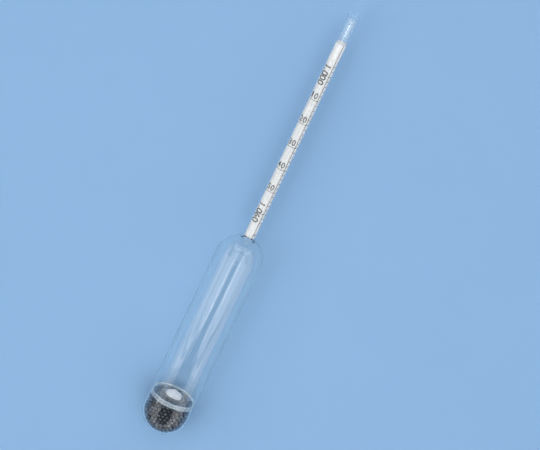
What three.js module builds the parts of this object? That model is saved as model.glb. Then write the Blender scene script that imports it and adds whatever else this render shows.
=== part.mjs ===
// Glass float hydrometer for specific gravity 1.000 to 1.060, lying on its side.
// Millimetres, +Z up. +X runs from the ballast end to the tip of the stem, the origin is under
// the middle of the float, and the bench is the plane Z = 0.
import * as THREE from "three";

// Driving dimensions. A station is a distance from the ballast end, along the axis.
const LENGTH = 160;
const BODY_RADIUS = 7.9;
const BODY_WALL = 0.5;
const SHOULDER_STATION = 67.4; // the barrel ends here and the round shoulder starts
const NECK_FILLET = 0.35; // outer radius of the sweep from the shoulder into the neck
const STEM_RADIUS = 2.17;
const STEM_WALL = 0.3;
const JOIN_STATION = 75.7; // the stem tube is fused to the neck here
const TIP_WALL = 1.15; // glass left on the axis where the stem is sealed
const TIP_BORE_DEPTH = 1.2; // length of the rounded end of the stem's bore

const PAPER_LOW_STATION = 76.2;
const PAPER_LENGTH = 72.8;
const PAPER_OUTER_RADIUS = 1.83;
const PAPER_THICKNESS = 0.1;
const PAPER_PITCH = 0.14; // radius gained in one turn of the roll
const PAPER_SWEEP_DEG = 400; // one turn and a short overlap
const PAPER_STEP_DEG = 10;

const FIT_GAP = 0.2; // between the inside of the body and what lies in it
const RETAINER_STATION = 12.8;
const RETAINER_THICKNESS = 1.05;
const RETAINER_HOLE_RADIUS = 1.5; // the shot is poured in through this hole
const COLLAR_INNER_RADIUS = 3.3;
const COLLAR_OUTER_RADIUS = 3.85;
const COLLAR_HEIGHT = 0.45;
const SEAL_HEAD_RADIUS = 2.8;
const SEAL_HEAD_HEIGHT = 1.6;
const SEAL_GAP = 0.1;
const BEAD_WIDTH = 0.45;
const BEAD_HEIGHT = 0.4;

const FACETS = 24; // round the axis, with the middle of one facet on the bench
const ARC_STEP_DEG = 11.25;

const radians = THREE.MathUtils.degToRad;
const bodyBore = BODY_RADIUS - BODY_WALL;
const stemBore = STEM_RADIUS - STEM_WALL;
const insideRadius = bodyBore - FIT_GAP;

// Profile points are [radius, station] pairs, listed so that the solid lies on their left.
function arc(radius, station, size, fromDeg, toDeg, sizeAlong = size) {
  const steps = Math.max(2, Math.round(Math.abs(toDeg - fromDeg) / ARC_STEP_DEG));
  const points = [];
  for (let i = 0; i <= steps; i += 1) {
    const angle = radians(fromDeg + ((toDeg - fromDeg) * i) / steps);
    points.push([radius + size * Math.cos(angle), station + sizeAlong * Math.sin(angle)]);
  }
  return points;
}

// The shoulder: a round dome that sweeps through a hollow fillet into a neck.
function shoulder(domeRadius, neckRadius, filletRadius) {
  const filletAcross = neckRadius + filletRadius;
  const filletAlong = Math.sqrt((domeRadius + filletRadius) ** 2 - filletAcross ** 2);
  const meetDeg = THREE.MathUtils.radToDeg(Math.atan2(filletAlong, filletAcross));
  const dome = arc(0, SHOULDER_STATION, domeRadius, 0, meetDeg);
  const fillet = arc(
    filletAcross, SHOULDER_STATION + filletAlong, filletRadius, 180 + meetDeg, 180,
  );
  return [...dome, ...fillet.slice(1)];
}

// A solid of revolution about the float's axis. Every facet touches the true circle at its
// middle, so the flat facet underneath lies on the bench.
function turned(name, profile, material) {
  const outward = 1 / Math.cos(Math.PI / FACETS);
  const points = profile.map(
    ([radius, station]) => new THREE.Vector2(Math.max(0, radius) * outward, station),
  );
  points[0].x = profile[0][0] < 1e-9 ? 0 : points[0].x;
  points[points.length - 1].x = profile.at(-1)[0] < 1e-9 ? 0 : points.at(-1).x;
  const geometry = new THREE.LatheGeometry(points, FACETS, Math.PI / FACETS, 2 * Math.PI);
  geometry.rotateZ(-Math.PI / 2);
  return named(name, geometry, material);
}

function named(name, geometry, material) {
  const mesh = new THREE.Mesh(geometry, material);
  mesh.name = name;
  return mesh;
}

const glass = new THREE.MeshStandardMaterial({
  color: 0xeef6f8, roughness: 0.03, metalness: 0, transparent: true, opacity: 0.25,
});
const paper = new THREE.MeshStandardMaterial({ color: 0xf1eeec, roughness: 0.8, metalness: 0 });
const steel = new THREE.MeshStandardMaterial({ color: 0x4a4c52, roughness: 0.25, metalness: 1 });
const clearPlastic = new THREE.MeshStandardMaterial({
  color: 0xdcebf5, roughness: 0.1, metalness: 0, transparent: true, opacity: 0.4,
});
const milkyWax = new THREE.MeshStandardMaterial({ color: 0xdfe3ea, roughness: 0.5, metalness: 0 });
const clearCement = new THREE.MeshStandardMaterial({
  color: 0xd5e6f2, roughness: 0.2, metalness: 0, transparent: true, opacity: 0.5,
});

// Float body: blown glass with a round bottom, a straight barrel and a round shoulder, open at
// the neck where the stem is fused on.
function bodyTube() {
  const outside = [
    ...arc(0, BODY_RADIUS, BODY_RADIUS, -90, 0),
    ...shoulder(BODY_RADIUS, STEM_RADIUS, NECK_FILLET),
    [STEM_RADIUS, JOIN_STATION],
  ];
  const inside = [
    ...arc(0, BODY_RADIUS, bodyBore, -90, 0),
    ...shoulder(bodyBore, stemBore, NECK_FILLET + STEM_WALL),
    [stemBore, JOIN_STATION],
  ];
  return turned("body_tube", [...outside, ...inside.reverse()], glass);
}

// Stem: thin glass tube with a thick, rounded, sealed tip.
function stemTube() {
  const boreEnd = LENGTH - TIP_WALL - TIP_BORE_DEPTH;
  const outside = [[STEM_RADIUS, JOIN_STATION], ...arc(0, LENGTH - STEM_RADIUS, STEM_RADIUS, 0, 90)];
  const inside = [[stemBore, JOIN_STATION], ...arc(0, boreEnd, stemBore, 0, 90, TIP_BORE_DEPTH)];
  return turned("stem_tube", [...inside.reverse(), ...outside], glass);
}

// Scale: a printed paper slip rolled up inside the stem, its long edges overlapping.
function scalePaper() {
  const outerSide = [];
  const innerSide = [];
  const turns = PAPER_SWEEP_DEG / 360;
  for (let deg = 0; deg <= PAPER_SWEEP_DEG; deg += PAPER_STEP_DEG) {
    const outer = PAPER_OUTER_RADIUS - PAPER_PITCH * (turns - deg / 360);
    const direction = new THREE.Vector2(Math.cos(radians(deg)), Math.sin(radians(deg)));
    outerSide.push(direction.clone().multiplyScalar(outer));
    innerSide.push(direction.clone().multiplyScalar(outer - PAPER_THICKNESS));
  }
  const outline = new THREE.Shape([...outerSide, ...innerSide.reverse()]);
  const geometry = new THREE.ExtrudeGeometry(outline, { depth: PAPER_LENGTH, bevelEnabled: false });
  geometry.rotateY(Math.PI / 2);
  geometry.translate(PAPER_LOW_STATION, 0, 0);
  return named("scale_paper", geometry, paper);
}

// Ballast: the outer shape of the packed charge of steel shot.
function ballastShot() {
  const bowl = arc(0, BODY_RADIUS, insideRadius, -90, 0);
  const profile = [...bowl, [insideRadius, RETAINER_STATION], [0, RETAINER_STATION]];
  return turned("ballast_shot", profile, steel);
}

// Retainer: clear disc that shuts the shot in, with a filling hole inside a raised collar.
function ballastRetainer() {
  const top = RETAINER_STATION + RETAINER_THICKNESS;
  const profile = [
    [RETAINER_HOLE_RADIUS, RETAINER_STATION],
    [insideRadius, RETAINER_STATION],
    [insideRadius, top],
    [COLLAR_OUTER_RADIUS, top],
    [COLLAR_OUTER_RADIUS, top + COLLAR_HEIGHT],
    [COLLAR_INNER_RADIUS, top + COLLAR_HEIGHT],
    [COLLAR_INNER_RADIUS, top],
    [RETAINER_HOLE_RADIUS, top],
    [RETAINER_HOLE_RADIUS, RETAINER_STATION],
  ];
  return turned("ballast_retainer", profile, clearPlastic);
}

// Seal: milky wax that fills the filling hole and stands over it as a rounded button.
function retainerSeal() {
  const top = RETAINER_STATION + RETAINER_THICKNESS;
  const plugRadius = RETAINER_HOLE_RADIUS - SEAL_GAP;
  const button = arc(0, top, SEAL_HEAD_RADIUS, 0, 90, SEAL_HEAD_HEIGHT);
  const profile = [
    [0, RETAINER_STATION + SEAL_GAP], [plugRadius, RETAINER_STATION + SEAL_GAP],
    [plugRadius, top], ...button,
  ];
  return turned("retainer_seal", profile, milkyWax);
}

// Bond: a fillet of clear cement all round the disc's upper edge.
function retainerBond() {
  const top = RETAINER_STATION + RETAINER_THICKNESS;
  const wall = bodyBore - SEAL_GAP;
  const profile = [
    [wall - BEAD_WIDTH, top], [wall, top], [wall, top + BEAD_HEIGHT],
    ...arc(wall - BEAD_WIDTH, top + BEAD_HEIGHT, BEAD_WIDTH, 0, -90, BEAD_HEIGHT).slice(1),
  ];
  return turned("retainer_bond", profile, clearCement);
}

const group = new THREE.Group();
group.position.set(-LENGTH / 2, 0, BODY_RADIUS);
group.add(
  bodyTube(),
  stemTube(),
  scalePaper(),
  ballastShot(),
  ballastRetainer(),
  retainerSeal(),
  retainerBond(),
);

export default group;
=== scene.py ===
"""Looks for the small glass float hydrometer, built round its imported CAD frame.

Metres, in the CAD frame: +X runs along the float from the ballast end to the stem tip, +Z is up.
A station is a distance from the ballast end along the axis. Lengths named here are in
millimetres, and MM turns them into metres where a mesh is made.
"""
import math

import bmesh
import bpy
import numpy as np
from mathutils import Matrix, Vector, noise


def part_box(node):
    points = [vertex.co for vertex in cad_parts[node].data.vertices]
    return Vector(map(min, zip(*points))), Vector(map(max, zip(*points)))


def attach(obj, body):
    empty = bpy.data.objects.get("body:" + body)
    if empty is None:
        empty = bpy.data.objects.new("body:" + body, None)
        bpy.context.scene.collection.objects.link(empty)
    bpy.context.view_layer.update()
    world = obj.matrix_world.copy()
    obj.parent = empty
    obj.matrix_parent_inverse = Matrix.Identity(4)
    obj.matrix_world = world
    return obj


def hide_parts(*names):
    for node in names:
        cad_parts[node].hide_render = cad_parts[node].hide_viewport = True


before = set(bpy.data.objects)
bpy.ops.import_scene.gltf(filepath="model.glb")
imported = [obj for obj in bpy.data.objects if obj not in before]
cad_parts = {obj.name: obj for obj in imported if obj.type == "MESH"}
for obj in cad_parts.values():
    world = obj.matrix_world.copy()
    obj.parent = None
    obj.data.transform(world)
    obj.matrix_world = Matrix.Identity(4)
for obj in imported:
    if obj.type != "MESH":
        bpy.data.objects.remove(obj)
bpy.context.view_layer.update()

MM = 0.001

# Sizes read from the frame, in millimetres.
body_low, body_high = (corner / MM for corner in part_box("body_tube"))
stem_low, stem_high = (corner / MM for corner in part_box("stem_tube"))
paper_low, paper_high = (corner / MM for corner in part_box("scale_paper"))
retainer_low, _ = (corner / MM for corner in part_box("ballast_retainer"))
START = body_low.x
AXIS_HEIGHT = (body_low.z + body_high.z) / 2
BODY_RADIUS = (body_high.z - body_low.z) / 2
STEM_RADIUS = (stem_high.z - stem_low.z) / 2
LENGTH = stem_high.x - START
PAPER_LOW = paper_low.x - START
PAPER_HIGH = paper_high.x - START
RETAINER_LOW = retainer_low.x - START

# Sizes that the frame's boxes don't show.
BODY_WALL = 0.5
STEM_WALL = 0.3
NECK_FILLET = 0.35
SHOULDER_STATION = 67.4
TIP_WALL = 1.15
TIP_BORE_DEPTH = 1.2
BODY_BORE = BODY_RADIUS - BODY_WALL
STEM_BORE = STEM_RADIUS - STEM_WALL


# ---------------------------------------------------------------- camera, light and floor

VIEW_TILT = math.radians(21.75)  # the camera leans this far from straight above, towards the tip
VIEW_DISTANCE = 1500
VIEW_LENS = 310.7
VIEW_ROLL = math.radians(25.55)
VIEW_AIM = Vector((2.606, -4.434, AXIS_HEIGHT))


def make_camera():
    camera = bpy.data.objects.new("camera", bpy.data.cameras.new("camera"))
    bpy.context.scene.collection.objects.link(camera)
    camera.data.lens = VIEW_LENS
    camera.data.clip_start = 0.05
    camera.data.clip_end = 50
    middle = Vector((START + LENGTH / 2, 0, AXIS_HEIGHT))
    towards = Vector((math.sin(VIEW_TILT), 0, math.cos(VIEW_TILT)))
    place = middle + VIEW_DISTANCE * towards
    back = (place - VIEW_AIM).normalized()
    up = (Vector((1, 0, 0)) - back.x * back).normalized()
    right = up.cross(back)
    turn = Matrix((right, up, back)).transposed() @ Matrix.Rotation(VIEW_ROLL, 3, "Z")
    camera.matrix_world = Matrix.Translation(place * MM) @ turn.to_4x4()
    bpy.context.scene.camera = camera


def softbox(name, angle, span, reach, length, middle_x, strength):
    """A panel along the float, at an angle in degrees round its axis from the vertical (+ towards
    +Y), and span degrees wide as the axis sees it. Reach, length and middle_x are in metres."""
    angle = math.radians(angle)
    width = 2 * reach * math.tan(math.radians(span) / 2)
    data = bpy.data.lights.new(name, "AREA")
    data.shape = "RECTANGLE"
    data.size = length
    data.size_y = width
    data.energy = strength * math.pi * width * length
    data.color = (1.0, 0.985, 0.97)
    light = bpy.data.objects.new(name, data)
    bpy.context.scene.collection.objects.link(light)
    across = Vector((0, math.sin(angle), math.cos(angle)))
    light.location = across * reach + Vector((middle_x, 0, AXIS_HEIGHT * MM))
    light.rotation_euler = (-angle, 0, 0)
    light.visible_camera = False


CARD_REACH = 1.2  # metres from the middle of the float to each wall card
CARD_LENGTH = 2.0
CARD_HEIGHT = 0.7
CARD_LIFT = 0.42  # height of a card's middle over the floor


def wall_card(name, side, strength):
    """A bright card standing beyond one side of the float, for the glass's edges to show."""
    side = math.radians(side)
    data = bpy.data.lights.new(name, "AREA")
    data.shape = "RECTANGLE"
    data.size = CARD_LENGTH
    data.size_y = CARD_HEIGHT
    data.energy = strength * math.pi * data.size * data.size_y
    light = bpy.data.objects.new(name, data)
    bpy.context.scene.collection.objects.link(light)
    light.location = (CARD_REACH * math.cos(side), CARD_REACH * math.sin(side), CARD_LIFT)
    light.rotation_euler = (math.pi / 2, 0, side + math.pi / 2)
    light.visible_camera = False


def make_lights():
    softbox("softbox_left", 38.5, 49, 0.6, 0.37, -0.12, 1.2)
    softbox("softbox_right", -26.5, 39, 0.6, 0.37, -0.12, 1.2)
    softbox("softbox_low_left", 44.5, 35, 0.6, 0.48, -0.55, 1.0)
    softbox("softbox_low_right", -46, 26, 0.6, 0.48, -0.55, 1.0)
    softbox("softbox_left_core", 19, 8, 0.59, 0.29, -0.16, 0.9)
    softbox("softbox_right_core", -17, 7, 0.59, 0.29, -0.16, 0.9)
    softbox("softbox_far_right", -66, 36, 0.7, 0.80, -0.33, 0.35)
    softbox("softbox_key", 2, 76, 0.62, 0.62, 0.38, 0.9)
    softbox("softbox_tip_core", 3.5, 15, 0.585, 0.03, -0.128, 5)
    wall_card("wall_card_tip_end", 0, 1.2)
    for number, side in enumerate((90, 180, 270)):
        wall_card(f"wall_card_{number}", side, 0.5)
    world = bpy.data.worlds.new("studio")
    bpy.context.scene.world = world
    world.use_nodes = True
    background = world.node_tree.nodes["Background"]
    background.inputs["Color"].default_value = (0.74, 0.87, 1.0, 1)
    background.inputs["Strength"].default_value = 0.26
    bpy.context.scene.view_settings.view_transform = "Standard"


def make_floor():
    """A large round sheet of pale paper that curves up a long way off."""
    rings = [(0.0, 0.0), (1.5, 0.0), (3.0, 0.0), (3.6, 0.08), (4.1, 0.32), (4.4, 0.8), (4.5, 1.6)]
    sides = 96
    mesh = bpy.data.meshes.new("floor")
    build = bmesh.new()
    rows = []
    for radius, height in rings[1:]:
        angles = (2 * math.pi * k / sides for k in range(sides))
        row = [(radius * math.cos(a), radius * math.sin(a), height) for a in angles]
        rows.append([build.verts.new(point) for point in row])
    build.faces.new(rows[0])
    for lower, upper in zip(rows, rows[1:]):
        for k in range(sides):
            after = (k + 1) % sides
            build.faces.new((lower[k], upper[k], upper[after], lower[after]))
    for face in build.faces:
        face.smooth = True
    build.to_mesh(mesh)
    build.free()
    floor = bpy.data.objects.new("floor", mesh)
    bpy.context.scene.collection.objects.link(floor)
    mesh.materials.append(floor_material())


# ---------------------------------------------------------------- materials


def new_material(name):
    material = bpy.data.materials.new(name)
    material.use_nodes = True
    tree = material.node_tree
    return material, tree, tree.nodes["Principled BSDF"]


def node(tree, kind, inputs=None, **settings):
    made = tree.nodes.new(kind)
    for key, value in settings.items():
        setattr(made, key, value)
    for key, value in (inputs or {}).items():
        if isinstance(value, bpy.types.NodeSocket):
            tree.links.new(value, made.inputs[key])
        else:
            made.inputs[key].default_value = value
    return made


def place_of(tree, stretch=(1, 1, 1)):
    """Object coordinates in millimetres, stretched along the axes."""
    coordinates = node(tree, "ShaderNodeTexCoord")
    scale = tuple(s / MM for s in stretch)
    inputs = {"Vector": coordinates.outputs["Object"], "Scale": scale}
    return node(tree, "ShaderNodeMapping", inputs).outputs[0]


def noise_of(tree, place, scale, detail=3, roughness=0.5):
    inputs = {"Vector": place, "Scale": scale, "Detail": detail, "Roughness": roughness}
    return node(tree, "ShaderNodeTexNoise", inputs).outputs["Fac"]


def ramp(tree, factor, stops):
    made = node(tree, "ShaderNodeValToRGB", {"Fac": factor})
    elements = made.color_ramp.elements
    while len(elements) < len(stops):
        elements.new(0.5)
    for element, (position, colour) in zip(elements, stops):
        element.position = position
        element.color = (*colour, 1)
    return made.outputs["Color"]


def bump(tree, shader, height, strength, depth):
    inputs = {"Height": height, "Strength": strength, "Distance": depth * MM}
    made = node(tree, "ShaderNodeBump", inputs)
    tree.links.new(made.outputs["Normal"], shader.inputs["Normal"])


def let_lamps_through(tree, shader, tint):
    """Lamps shine through clear material as through a window, so what it encloses is lit."""
    path = node(tree, "ShaderNodeLightPath")
    open_side = node(tree, "ShaderNodeBsdfTransparent", {"Color": (*tint, 1)})
    mixed = node(tree, "ShaderNodeMixShader", {0: path.outputs["Is Shadow Ray"]})
    tree.links.new(shader.outputs[0], mixed.inputs[1])
    tree.links.new(open_side.outputs[0], mixed.inputs[2])
    tree.links.new(mixed.outputs[0], tree.nodes["Material Output"].inputs["Surface"])


def glass_material():
    """Thin blown soda glass: the faintest tint, long shallow draw lines along the tube."""
    material, tree, shader = new_material("blown_glass")
    shader.inputs["Base Color"].default_value = (0.975, 0.992, 0.99, 1)
    shader.inputs["Roughness"].default_value = 0.0
    shader.inputs["IOR"].default_value = 1.51
    shader.inputs["Transmission Weight"].default_value = 1.0
    draw = noise_of(tree, place_of(tree, (0.03, 0.5, 0.5)), 1.0, 2)
    bump(tree, shader, draw, 0.12, 0.12)
    let_lamps_through(tree, shader, (0.95, 0.96, 0.965))
    return material


def retainer_material():
    """Clear moulded plastic, a little hazy, with fine ripples."""
    material, tree, shader = new_material("clear_retainer")
    shader.inputs["Base Color"].default_value = (0.93, 0.965, 0.985, 1)
    shader.inputs["Roughness"].default_value = 0.03
    shader.inputs["IOR"].default_value = 1.49
    shader.inputs["Transmission Weight"].default_value = 1.0
    ripple = noise_of(tree, place_of(tree), 0.9, 4, 0.6)
    bump(tree, shader, ripple, 0.12, 0.1)
    let_lamps_through(tree, shader, (0.95, 0.97, 0.985))
    return material


def edge_highlight_material():
    """The disc's edge: the same plastic, slightly frosted, with fine grinding marks, and a pale
    bluish-white colour painted on as a highlight, standing in for the light that the clear disc
    carries out to its rim.
    """
    material, tree, shader = new_material("edge_painted_highlight")
    marks = noise_of(tree, place_of(tree, (3.0, 1.0, 1.0)), 1.5, 4, 0.6)
    # pale bluish white: a painted highlight for the light the disc carries to its rim
    colour = ramp(tree, marks, [(0.35, (0.62, 0.77, 0.92)), (0.65, (0.90, 0.96, 1.0))])
    tree.links.new(colour, shader.inputs["Base Color"])
    shader.inputs["Roughness"].default_value = 0.25
    shader.inputs["IOR"].default_value = 1.49
    shader.inputs["Transmission Weight"].default_value = 0.74
    bump(tree, shader, marks, 0.4, 0.05)
    let_lamps_through(tree, shader, (0.85, 0.9, 0.94))
    return material


def cement_material():
    """Cement: glossy, a little cloudy, uneven, full of small ripples."""
    material, tree, shader = new_material("clear_cement")
    shader.inputs["Base Color"].default_value = (0.80, 0.91, 1.0, 1)
    shader.inputs["Roughness"].default_value = 0.05
    shader.inputs["IOR"].default_value = 1.46
    shader.inputs["Transmission Weight"].default_value = 0.68
    ripple = noise_of(tree, place_of(tree), 2.2, 4, 0.6)
    bump(tree, shader, ripple, 0.7, 0.1)
    let_lamps_through(tree, shader, (0.88, 0.92, 0.95))
    return material


def seal_material():
    """Milky wax: cloudy, softly lumpy, with a dull shine."""
    material, tree, shader = new_material("milky_seal")
    place = place_of(tree)
    cloud = noise_of(tree, place, 1.1, 5, 0.6)
    stops = [(0.3, (0.62, 0.66, 0.73)), (0.5, (0.78, 0.80, 0.85)), (0.72, (0.90, 0.91, 0.93))]
    colour = ramp(tree, cloud, stops)
    tree.links.new(colour, shader.inputs["Base Color"])
    shader.inputs["Roughness"].default_value = 0.38
    shader.inputs["Subsurface Weight"].default_value = 0.25
    shader.inputs["Subsurface Radius"].default_value = (0.0012, 0.0012, 0.0014)
    shader.inputs["Subsurface Scale"].default_value = 1.0
    lumps = noise_of(tree, place, 2.4, 4, 0.6)
    bump(tree, shader, lumps, 0.6, 0.2)
    return material


def paper_material():
    """Uncoated printing paper: warm white, faint fibres and a slight mottle."""
    material, tree, shader = new_material("scale_paper")
    place = place_of(tree)
    mottle = noise_of(tree, place, 0.35, 4, 0.55)
    fibres = noise_of(tree, place_of(tree, (0.6, 5.0, 5.0)), 2.0, 5, 0.7)
    blend = node(tree, "ShaderNodeMix", {0: 0.4, 2: mottle, 3: fibres}, data_type="FLOAT").outputs[0]
    stops = [(0.32, (0.85, 0.84, 0.84)), (0.52, (0.895, 0.88, 0.885)), (0.7, (0.92, 0.91, 0.915))]
    colour = ramp(tree, blend, stops)
    tree.links.new(colour, shader.inputs["Base Color"])
    shader.inputs["Roughness"].default_value = 0.85
    shader.inputs["Subsurface Weight"].default_value = 0.8
    shader.inputs["Subsurface Radius"].default_value = (0.0003, 0.0003, 0.0003)
    shader.inputs["Subsurface Scale"].default_value = 1.0
    bump(tree, shader, fibres, 0.35, 0.02)
    return material


def ink_material():
    """Dark printing ink that lies unevenly on the paper's fibres."""
    material, tree, shader = new_material("printing_ink")
    density = noise_of(tree, place_of(tree), 6.0, 4, 0.65)
    colour = ramp(tree, density, [(0.35, (0.012, 0.011, 0.014)), (0.7, (0.055, 0.048, 0.052))])
    tree.links.new(colour, shader.inputs["Base Color"])
    shader.inputs["Roughness"].default_value = 0.55
    return material


def steel_material():
    """Dark steel shot: each ball has its own shade, with fine scuffs."""
    material, tree, shader = new_material("steel_shot")
    island = node(tree, "ShaderNodeNewGeometry").outputs["Random Per Island"]
    stops = [(0.0, (0.042, 0.05, 0.07)), (0.5, (0.085, 0.096, 0.125)), (1.0, (0.18, 0.19, 0.225))]
    shade = ramp(tree, island, stops)
    tree.links.new(shade, shader.inputs["Base Color"])
    shader.inputs["Metallic"].default_value = 1.0
    shader.inputs["Roughness"].default_value = 0.28
    scuffs = noise_of(tree, place_of(tree), 3.5, 5, 0.7)
    bump(tree, shader, scuffs, 0.1, 0.02)
    return material


def floor_material():
    material, tree, shader = new_material("floor_paper")
    grain = noise_of(tree, place_of(tree), 0.02, 4, 0.6)
    colour = ramp(tree, grain, [(0.3, (0.30, 0.505, 0.775)), (0.7, (0.31, 0.515, 0.79))])
    tree.links.new(colour, shader.inputs["Base Color"])
    shader.inputs["Roughness"].default_value = 0.9
    shader.inputs["Specular IOR Level"].default_value = 0.15
    return material


# ---------------------------------------------------------------- mesh helpers


def piece_from(name, points, faces, material, smooth=True):
    """A mesh object from points in millimetres, in the CAD frame."""
    mesh = bpy.data.meshes.new(name)
    mesh.from_pydata([tuple(c * MM for c in p) for p in points], [], faces)
    mesh.validate()
    mesh.polygons.foreach_set("use_smooth", [smooth] * len(mesh.polygons))
    mesh.materials.append(material)
    piece = bpy.data.objects.new(name, mesh)
    bpy.context.scene.collection.objects.link(piece)
    return piece


def on_tube(radius, angle, station):
    """A point at this radius and station. Angle 0 is on top and grows towards -Y."""
    return (START + station, -radius * math.sin(angle), AXIS_HEIGHT + radius * math.cos(angle))


def revolved(profile, sides, closed, first=0, shape=None):
    """Points and faces of a turned shell. profile is [radius, station] pairs with the solid on
    their left. shape(radius, station, angle) may change the pair, to make the shell uneven."""
    points = []
    faces = []
    rows = []
    for radius, station in profile:
        if radius < 1e-6:
            rows.append([first + len(points)])
            points.append(on_tube(0, 0, station))
            continue
        row = []
        for k in range(sides):
            angle = 2 * math.pi * k / sides
            r, s = shape(radius, station, angle) if shape else (radius, station)
            row.append(first + len(points))
            points.append(on_tube(r, angle, s))
        rows.append(row)
    pairs = list(zip(rows, rows[1:]))
    if closed:
        pairs.append((rows[-1], rows[0]))
    for lower, upper in pairs:
        for k in range(sides):
            after = (k + 1) % sides
            if len(lower) == 1 and len(upper) == 1:
                continue
            if len(lower) == 1:
                faces.append((lower[0], upper[after], upper[k]))
            elif len(upper) == 1:
                faces.append((lower[k], lower[after], upper[0]))
            else:
                faces.append((lower[k], lower[after], upper[after], upper[k]))
    return points, faces


def arc(radius, station, size, start, end, steps, along=None):
    along = size if along is None else along
    made = []
    for i in range(steps + 1):
        angle = math.radians(start + (end - start) * i / steps)
        made.append((radius + size * math.cos(angle), station + along * math.sin(angle)))
    return made


def straight(start, end, step):
    """Points from start to end, without either end."""
    count = max(2, round(math.dist(start, end) / step))
    shares = (i / count for i in range(1, count))
    return [(start[0] + (end[0] - start[0]) * t, start[1] + (end[1] - start[1]) * t) for t in shares]


# ---------------------------------------------------------------- glass envelope

GLASS_SIDES = 144
WAVE_DEPTH = 0.02  # how far hand-drawn glass wanders inwards from true


def shoulder(dome_radius, neck_radius, fillet_radius):
    across = neck_radius + fillet_radius
    along = math.sqrt((dome_radius + fillet_radius) ** 2 - across**2)
    meet = math.degrees(math.atan2(along, across))
    dome = arc(0, SHOULDER_STATION, dome_radius, 0, meet, 28)
    fillet = arc(across, SHOULDER_STATION + along, fillet_radius, 180 + meet, 180, 8)
    return dome + fillet[1:]


def envelope_profile(body_radius, stem_radius, fillet_radius, tip_start, tip_depth):
    """Half outline of one face of the glass, from the ballast end to the tip."""
    bottom = arc(0, BODY_RADIUS, body_radius, -90, 0, 32)
    top = shoulder(body_radius, stem_radius, fillet_radius)
    tip = arc(0, tip_start, stem_radius, 0, 90, 14, tip_depth)
    barrel = straight(bottom[-1], top[0], 1.0)
    stem = straight(top[-1], tip[0], 1.5)
    outline = bottom + barrel + top + stem + tip
    return [(0.0 if radius < 1e-6 else radius, station) for radius, station in outline]


def glass_wave(radius, station, angle):
    """Slow swells along and round the tube, always inwards from the true outline."""
    around = Vector((station * 0.045, 0.9 * math.cos(angle), 0.9 * math.sin(angle)))
    swell = 0.5 + 0.5 * noise.noise(around)
    share = min(1.0, radius / BODY_RADIUS)
    return radius - WAVE_DEPTH * share * swell, station


def make_glass():
    outer = envelope_profile(
        BODY_RADIUS, STEM_RADIUS, NECK_FILLET, LENGTH - STEM_RADIUS, STEM_RADIUS,
    )
    bore_end = LENGTH - TIP_WALL - TIP_BORE_DEPTH
    inner = envelope_profile(
        BODY_BORE, STEM_BORE, NECK_FILLET + STEM_WALL, bore_end, TIP_BORE_DEPTH,
    )
    points, faces = revolved(outer, GLASS_SIDES, False, 0, glass_wave)
    more_points, more_faces = revolved(inner[::-1], GLASS_SIDES, False, len(points), glass_wave)
    glass = piece_from("glass_envelope", points + more_points, faces + more_faces, glass_material())
    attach(glass, "root")
    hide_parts("body_tube", "stem_tube")


# ---------------------------------------------------------------- paper scale

PAPER_RADIUS = 1.83
PAPER_THICKNESS = 0.1
PAPER_PITCH = 0.14
PAPER_SWEEP = math.radians(400)
SEAM_ANGLE = math.radians(200)  # where the sheet's outer edge lies, out of sight underneath
INK_LIFT = 0.004
INK_THICKNESS = 0.01
PAPER_FRONT_RADIUS = 1.75  # where the scale faces
PAPER_ROW_STEP = 1.5
PAPER_RIPPLE = 0.012  # how far the sheet's surface wanders


def paper_surface(angle):
    """Radius of the rolled sheet's outer face, for angles in the turn that ends at the seam."""
    return PAPER_RADIUS - PAPER_PITCH * (SEAM_ANGLE - angle) / (2 * math.pi)


def make_paper(material):
    steps = 200
    rows = int((PAPER_HIGH - PAPER_LOW) / PAPER_ROW_STEP)
    between = (PAPER_LOW + PAPER_ROW_STEP * i for i in range(1, rows))
    stations = [PAPER_LOW, *between, PAPER_HIGH]
    ring = []
    for i in range(steps + 1):
        angle = SEAM_ANGLE - PAPER_SWEEP * (1 - i / steps)
        ring.append((paper_surface(angle), angle))
    for i in reversed(range(steps + 1)):
        angle = SEAM_ANGLE - PAPER_SWEEP * (1 - i / steps)
        ring.append((paper_surface(angle) - PAPER_THICKNESS, angle))
    points = []
    for station in stations:
        for radius, angle in ring:
            spot = Vector((station * 0.12, math.cos(angle), math.sin(angle)))
            ripple = PAPER_RIPPLE * noise.noise(spot)
            points.append(on_tube(radius + ripple - PAPER_RIPPLE, angle, station))
    count = len(ring)
    faces = []
    for row in range(len(stations) - 1):
        for k in range(count):
            after = (k + 1) % count
            a, b = row * count, (row + 1) * count
            faces.append((a + k, a + after, b + after, b + k))
    last = (len(stations) - 1) * count
    for i in range(steps):
        low, high = i, count - 1 - i
        faces.append((low, high, high - 1, low + 1))
        faces.append((last + low, last + low + 1, last + high - 1, last + high))
    paper = piece_from("scale_paper_roll", points, faces, material, smooth=False)
    sides = [len(f.vertices) == 4 and abs(f.normal.x) < 0.5 for f in paper.data.polygons]
    paper.data.polygons.foreach_set("use_smooth", sides)
    paper.data.update()
    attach(paper, "root")
    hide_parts("scale_paper")


# ---------------------------------------------------------------- printed scale

TOP_MARK = 1.000
BOTTOM_MARK = 1.060
TOP_MARK_STATION = 137.3
SCALE_LENGTH = 51.9  # from the 1.000 mark to the 1.060 mark
TICK_STEP = 0.002
TICKS_PAST_ENDS = 2
TICKS_PER_NUMERAL = 5
LINE_WIDTH = 0.16
BASELINE_ANGLE = math.radians(35)
TICK_END_ANGLE = math.radians(72)
LONG_START_ANGLE = math.radians(-68)
LONG_END_ANGLE = math.radians(80)
NUMERAL_HEIGHT = 2.05
NUMERAL_PITCH = 1.36
NUMERAL_GAP = 0.6
STROKE_GROWTH = 0.01  # thickens the built-in letter shapes, as a share of their height
END_NUMERAL_HEIGHT = 2.2
END_NUMERAL_WIDTH = 6.9
END_NUMERAL_ACROSS = -0.73
DIGIT_WIDTH = 1.1
DIGIT_ONE_WIDTH = 0.55
END_MARK_STATION = 77.4  # a short bold slanting mark at the foot of the scale
END_MARK_LENGTH = 0.85
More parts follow.
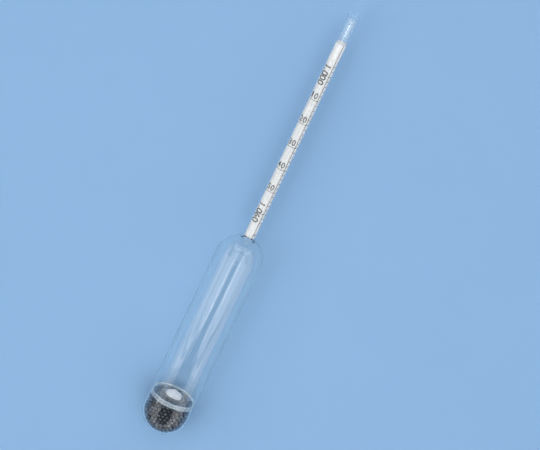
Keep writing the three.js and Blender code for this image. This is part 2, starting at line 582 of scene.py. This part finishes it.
END_MARK_SLOPE = 0.5
END_MARK_WIDTH = 0.34
WRAP_STEP = 0.12


def mark_station(gravity):
    """A float sinks in proportion to 1 / gravity, so its marks crowd together lower down."""
    share = (1 - TOP_MARK / gravity) / (1 - TOP_MARK / BOTTOM_MARK)
    return TOP_MARK_STATION - SCALE_LENGTH * share


def printed(points, faces):
    """Wraps a flat print round the rolled paper as a thin closed film. points are flat pairs:
    distance round the paper to the right of the top line, and station."""
    around = []
    for lift in (INK_LIFT, INK_LIFT + INK_THICKNESS):
        for across, station in points:
            angle = across / PAPER_FRONT_RADIUS
            around.append(on_tube(paper_surface(angle) + lift, angle, station))
    count = len(points)
    solid = [tuple(i + count for i in face) for face in faces]
    solid += [tuple(reversed(face)) for face in faces]
    edges = {(a, b) for face in faces for a, b in zip(face, face[1:] + face[:1])}
    solid += [(a, b, b + count, a + count) for a, b in edges if (b, a) not in edges]
    return around, solid


def strip(start, end, station, width, tilt=0.0):
    """A line printed across the paper, from one distance round it to another."""
    steps = max(1, math.ceil((end - start) / WRAP_STEP))
    points = []
    for i in range(steps + 1):
        across = start + (end - start) * i / steps
        rise = tilt * (across - start)
        points += [(across, station - width / 2 + rise), (across, station + width / 2 + rise)]
    faces = [(2 * i + 1, 2 * i, 2 * i + 2, 2 * i + 3) for i in range(steps)]
    return points, faces


def text_outline(text, height, width):
    """A numeral as a flat filled mesh, centred, at this height and width in millimetres."""
    curve = bpy.data.curves.new("numeral", "FONT")
    curve.body = text
    curve.resolution_u = 6
    curve.offset = STROKE_GROWTH
    holder = bpy.data.objects.new("numeral", curve)
    bpy.context.scene.collection.objects.link(holder)
    bpy.context.view_layer.update()
    mesh = bpy.data.meshes.new_from_object(holder)
    bpy.data.objects.remove(holder)
    build = bmesh.new()
    build.from_mesh(mesh)
    bpy.data.meshes.remove(mesh)
    bmesh.ops.remove_doubles(build, verts=build.verts[:], dist=1e-5)
    low = Vector((min(v.co.x for v in build.verts), min(v.co.y for v in build.verts), 0))
    high = Vector((max(v.co.x for v in build.verts), max(v.co.y for v in build.verts), 0))
    span = high - low
    for vert in build.verts:
        across = ((vert.co.x - low.x) / span.x - 0.5) * width
        upward = ((vert.co.y - low.y) / span.y - 0.5) * height
        vert.co = Vector((across, upward, 0))
    return build


def flat_print(build, turned, across, station):
    """Cuts a flat mesh into narrow strips, so that it can bend, and moves it onto the paper."""
    if turned:
        for vert in build.verts:
            vert.co = Vector((vert.co.y, -vert.co.x, 0))
    reach = max(abs(v.co.x) for v in build.verts)
    cuts = math.ceil(reach / WRAP_STEP)
    for k in range(-cuts, cuts + 1):
        geometry = build.verts[:] + build.edges[:] + build.faces[:]
        bmesh.ops.bisect_plane(
            build, geom=geometry, dist=1e-6, plane_co=(k * WRAP_STEP, 0, 0), plane_no=(1, 0, 0),
        )
    build.verts.index_update()
    points = [(v.co.x + across, v.co.y + station) for v in build.verts]
    faces = []
    for face in build.faces:
        loop = tuple(v.index for v in face.verts)
        faces.append(loop if face.normal.z > 0 else loop[::-1])
    build.free()
    return points, faces


def joined(parts):
    """One list of points and faces from several."""
    points, faces = [], []
    for more_points, more_faces in parts:
        faces += [tuple(i + len(points) for i in face) for face in more_faces]
        points += more_points
    return points, faces


def scale_lines():
    """The long line down the scale, its short ticks, and the longer ones at each numeral."""
    baseline = BASELINE_ANGLE * PAPER_FRONT_RADIUS
    half = LINE_WIDTH / 2
    middle, reach = (PAPER_LOW + PAPER_HIGH) / 2, (PAPER_HIGH - PAPER_LOW) / 2 - 0.05
    pieces = [strip(baseline - half, baseline + half, middle, 2 * reach)]
    count = round((BOTTOM_MARK - TOP_MARK) / TICK_STEP)
    for number in range(-TICKS_PAST_ENDS, count + TICKS_PAST_ENDS + 1):
        station = mark_station(TOP_MARK + TICK_STEP * number)
        is_long = number % TICKS_PER_NUMERAL == 0 and 0 <= number <= count
        start = LONG_START_ANGLE * PAPER_FRONT_RADIUS if is_long else baseline + half
        end = (LONG_END_ANGLE if is_long else TICK_END_ANGLE) * PAPER_FRONT_RADIUS
        if is_long:
            pieces.append(strip(start, baseline - half, station, LINE_WIDTH))
            pieces.append(strip(baseline + half, end, station, LINE_WIDTH))
        else:
            pieces.append(strip(start, end, station, LINE_WIDTH))
    start, end = baseline + half, baseline + END_MARK_LENGTH
    pieces.append(strip(start, end, END_MARK_STATION, END_MARK_WIDTH, END_MARK_SLOPE))
    return pieces


def scale_numerals():
    """Tens of the last two decimals beside their lines, and the full value at both ends."""
    pieces = []
    for tens in range(1, 6):
        station = mark_station(TOP_MARK + 0.01 * tens) + NUMERAL_GAP + NUMERAL_HEIGHT / 2
        for place, digit in enumerate(str(10 * tens)):
            width = DIGIT_ONE_WIDTH if digit == "1" else DIGIT_WIDTH
            build = text_outline(digit, NUMERAL_HEIGHT, width)
            pieces.append(flat_print(build, False, NUMERAL_PITCH * (place - 1), station))
    for gravity in (TOP_MARK, BOTTOM_MARK):
        text = f"{gravity:.3f}"
        build = text_outline(text, END_NUMERAL_HEIGHT, END_NUMERAL_WIDTH)
        pieces.append(flat_print(build, True, END_NUMERAL_ACROSS, mark_station(gravity)))
    return pieces


def make_print(ink):
    for name, pieces in (("scale_lines", scale_lines()), ("scale_numerals", scale_numerals())):
        wrapped = joined([printed(points, faces) for points, faces in pieces])
        piece = piece_from(name, *wrapped, ink, smooth=False)
        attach(piece, "root")
        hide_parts("scale_paper")


# ---------------------------------------------------------------- ballast

SHOT_RADIUS = 0.65
SHOT_PACKING = 0.6
SHOT_SEED = 7
LAYER_FILL = 0.95
LAYER_STEP = 1.75  # distance between layers, in ball radii
SHOT_STEPS = 320
BALLAST_RADIUS = BODY_BORE - 0.03


def ballast_volume():
    bowl = 2 / 3 * math.pi * BALLAST_RADIUS**3
    return bowl + math.pi * BALLAST_RADIUS**2 * (RETAINER_LOW - BODY_RADIUS)


def keep_inside(centres, radius):
    """Moves ball centres back inside the bowl, the barrel and the retainer's lower face.
    Columns are the station and the two directions across the axis."""
    room = BALLAST_RADIUS - radius
    centres[:, 0] = np.minimum(centres[:, 0], RETAINER_LOW - radius)
    along = np.minimum(centres[:, 0] - BODY_RADIUS, 0)
    out = np.sqrt(along**2 + centres[:, 1] ** 2 + centres[:, 2] ** 2)
    share = np.where(out > room, room / np.maximum(out, 1e-9), 1)
    centres[:, 0] += along * (share - 1)
    centres[:, 1:] *= share[:, None]


def shot_layers():
    """Ball centres in layers under the wall, each layer a spiral that leaves every ball the same
    area. A sphere and its tube have the same area for each step along the axis."""
    rows = []
    layer = BALLAST_RADIUS - SHOT_RADIUS
    while layer > 0.3 * SHOT_RADIUS:
        low, high = BODY_RADIUS - layer, RETAINER_LOW - SHOT_RADIUS
        area = 2 * math.pi * layer * (high - low)
        count = round(LAYER_FILL * area / (2 * math.sqrt(3) * SHOT_RADIUS**2))
        for i in range(count):
            station = low + (high - low) * (i + 0.5) / count
            radius = math.sqrt(max(0, layer**2 - min(0, station - BODY_RADIUS) ** 2))
            angle = i * math.pi * (3 - math.sqrt(5))
            rows.append((station, radius * math.cos(angle), radius * math.sin(angle)))
        layer -= LAYER_STEP * SHOT_RADIUS
    return np.array(rows)


def pack_shot():
    """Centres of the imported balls: they start in layers, grow, and push each other apart."""
    draw = np.random.default_rng(SHOT_SEED)
    count = round(SHOT_PACKING * ballast_volume() / (4 / 3 * math.pi * SHOT_RADIUS**3))
    centres = shot_layers()
    centres = centres[:count] + draw.normal(0, 0.03, (min(count, len(centres)), 3))
    for step in range(SHOT_STEPS):
        grown = SHOT_RADIUS * min(1.0, 0.75 + 0.3 * step / SHOT_STEPS)
        gap = centres[:, None, :] - centres[None, :, :]
        far = np.sqrt((gap**2).sum(2)) + 1e-9
        np.fill_diagonal(far, 10 * BALLAST_RADIUS)
        overlap = np.maximum(0, 2 * grown - far)
        push = (gap * (0.5 * overlap / far)[:, :, None]).sum(1)
        shake = draw.normal(0, 0.012 * (1 - step / SHOT_STEPS), centres.shape)
        centres += push * 0.8 + shake
        keep_inside(centres, SHOT_RADIUS)
    return centres


def ball_shape(subdivisions):
    build = bmesh.new()
    bmesh.ops.create_icosphere(build, subdivisions=subdivisions, radius=1)
    points = np.array([v.co for v in build.verts])
    faces = np.array([[v.index for v in f.verts] for f in build.faces])
    build.free()
    return points, faces


def shot_piece(name, centres, subdivisions, material, draw):
    unit, unit_faces = ball_shape(subdivisions)
    points = []
    faces = []
    for number, (station, right, up) in enumerate(centres):
        squash = 1 + draw.uniform(-0.03, 0.0, 3)
        turn, _ = np.linalg.qr(draw.normal(size=(3, 3)))
        ball = (unit * squash) @ turn * SHOT_RADIUS
        points.append(ball + np.array([START + station, -right, AXIS_HEIGHT + up]))
        faces.append(unit_faces[:, ::-1 if np.linalg.det(turn) < 0 else 1] + number * len(unit))
    piece = piece_from(name, np.concatenate(points), np.concatenate(faces).tolist(), material)
    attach(piece, "root")
    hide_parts("ballast_shot")


def make_shot():
    material = steel_material()
    centres = pack_shot()
    along = np.minimum(centres[:, 0] - BODY_RADIUS, 0)
    out = np.sqrt(along**2 + centres[:, 1] ** 2 + centres[:, 2] ** 2)
    near_wall = out > BALLAST_RADIUS - 2.4 * SHOT_RADIUS
    near_disc = centres[:, 0] > RETAINER_LOW - 2.4 * SHOT_RADIUS
    outer = near_wall | near_disc
    draw = np.random.default_rng(SHOT_SEED + 1)
    shot_piece("shot_outer", centres[outer], 3, material, draw)
    shot_piece("shot_core", centres[~outer], 2, material, draw)


# ---------------------------------------------------------------- retainer, seal and bond

RETAINER_THICKNESS = 1.05
RETAINER_TOP = RETAINER_LOW + RETAINER_THICKNESS
RETAINER_RADIUS = 7.3
HOLE_RADIUS = 1.5
COLLAR_INNER = 3.3
COLLAR_OUTER = 3.85
COLLAR_HEIGHT = 0.45
SEAL_HEAD_RADIUS = 2.8
SEAL_HEAD_HEIGHT = 1.6


def uneven(depth, scale, seed):
    """A shape function for revolved() that lets a moulded or poured edge wander."""
    def shape(radius, station, angle):
        spot = Vector((math.cos(angle) * scale, math.sin(angle) * scale, seed + station * 0.6))
        other = spot + Vector((5, 3, 1))
        return radius + depth * noise.noise(spot), station + depth * noise.noise(other)
    return shape


def make_retainer():
    edge = 0.12
    low, top = RETAINER_LOW, RETAINER_TOP
    rim = top + COLLAR_HEIGHT
    middle = (COLLAR_INNER + COLLAR_OUTER) / 2
    half = (COLLAR_OUTER - COLLAR_INNER) / 2
    profile = [
        *arc(HOLE_RADIUS + edge, low + edge, edge, 180, 270, 4),
        *straight((HOLE_RADIUS + edge, low), (RETAINER_RADIUS - edge, low), 0.5),
        *arc(RETAINER_RADIUS - edge, low + edge, edge, -90, 0, 5),
        *arc(RETAINER_RADIUS - edge, top - edge, edge, 0, 90, 5),
        *straight((RETAINER_RADIUS - edge, top), (COLLAR_OUTER + edge, top), 0.5),
        *arc(COLLAR_OUTER + edge, top + edge, edge, -90, -180, 4),
        *arc(middle, rim - half, half, 0, 180, 8),
        *arc(COLLAR_INNER - edge, top + edge, edge, 0, -90, 4),
        *straight((COLLAR_INNER - edge, top), (HOLE_RADIUS + edge, top), 0.4),
        *arc(HOLE_RADIUS + edge, top - edge, edge, 90, 180, 4),
    ]
    settle = uneven(0.05, 1.6, 2.0)

    def shape(radius, station, angle):
        moved = settle(radius, station, angle)
        return moved if station > top + 0.01 or radius < 5 else (radius, station)

    points, faces = revolved(profile, 128, True, 0, shape)
    piece = piece_from("retainer_disc", points, faces, retainer_material())
    # the rim band takes the edge material, whose pale colour is a painted highlight
    piece.data.materials.append(edge_highlight_material())
    for face in piece.data.polygons:
        out = math.hypot(face.center.y / MM, face.center.z / MM - AXIS_HEIGHT)
        face.material_index = 1 if out > RETAINER_RADIUS - edge / 2 else 0
    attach(piece, "root")
    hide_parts("ballast_retainer")


def make_seal():
    top = RETAINER_TOP + 0.02
    plug = HOLE_RADIUS + 0.03
    head = SEAL_HEAD_RADIUS
    height = SEAL_HEAD_HEIGHT
    profile = [
        (0.0, RETAINER_LOW + 0.12),
        *straight((0.0, RETAINER_LOW + 0.12), (plug - 0.1, RETAINER_LOW + 0.12), 0.3),
        *arc(plug - 0.1, RETAINER_LOW + 0.22, 0.1, -90, 0, 3),
        (plug, top),
        *straight((plug, top), (head - 0.15, top), 0.3),
        *arc(head - 0.15, top + 0.15, 0.15, -90, 0, 3),
        *arc(0, top + 0.15, head, 0, 90, 14, height - 0.15)[1:],
    ]
    profile = [(0.0 if radius < 1e-6 else radius, station) for radius, station in profile]
    lumpy = uneven(0.55, 1.6, 9.0)

    def shape(radius, station, angle):
        return lumpy(radius, station, angle) if station > top + 0.05 else (radius, station)

    points, faces = revolved(profile, 96, False, 0, shape)
    piece = piece_from("milky_seal", points, faces, seal_material())
    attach(piece, "root")
    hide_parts("retainer_seal")


def bead_ring(wall, low, width, height, upright, first):
    """One ring of cement in the corner between the disc's face and the glass. upright is 1 for
    a ring over the disc and -1 for one under it."""
    top = low + upright * height
    profile = [
        (wall - width, low),
        *straight((wall - width, low), (wall, low), 0.12),
        (wall, low),
        *straight((wall, low), (wall, top), 0.12),
        (wall, top),
        *arc(wall - width, top, width, 0, -90, 8, upright * height)[1:-1],
    ]
    run = uneven(0.3 * width, 2.2, 4.0 * upright)

    def shape(radius, station, angle):
        moved = run(radius, station, angle)
        share = (wall - radius) / width
        rise = moved[1] - station if abs(station - low) > 0.05 else 0
        return radius + (moved[0] - radius) * share * 0.7, station + rise

    return revolved(profile[::upright], 128, True, first, shape)


def make_bond():
    """Cement round both faces of the disc. The ring under the disc is a guess."""
    wall = BODY_BORE - 0.05
    points, faces = bead_ring(wall, RETAINER_TOP + 0.02, 0.45, 0.36, 1, 0)
    more_points, more_faces = bead_ring(wall, RETAINER_LOW - 0.02, 0.3, 0.22, -1, len(points))
    piece = piece_from("cement_bead", points + more_points, faces + more_faces, cement_material())
    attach(piece, "root")
    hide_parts("retainer_bond")


make_camera()
make_lights()
make_floor()
make_glass()
make_paper(paper_material())
make_print(ink_material())
make_shot()
make_retainer()
make_seal()
make_bond()
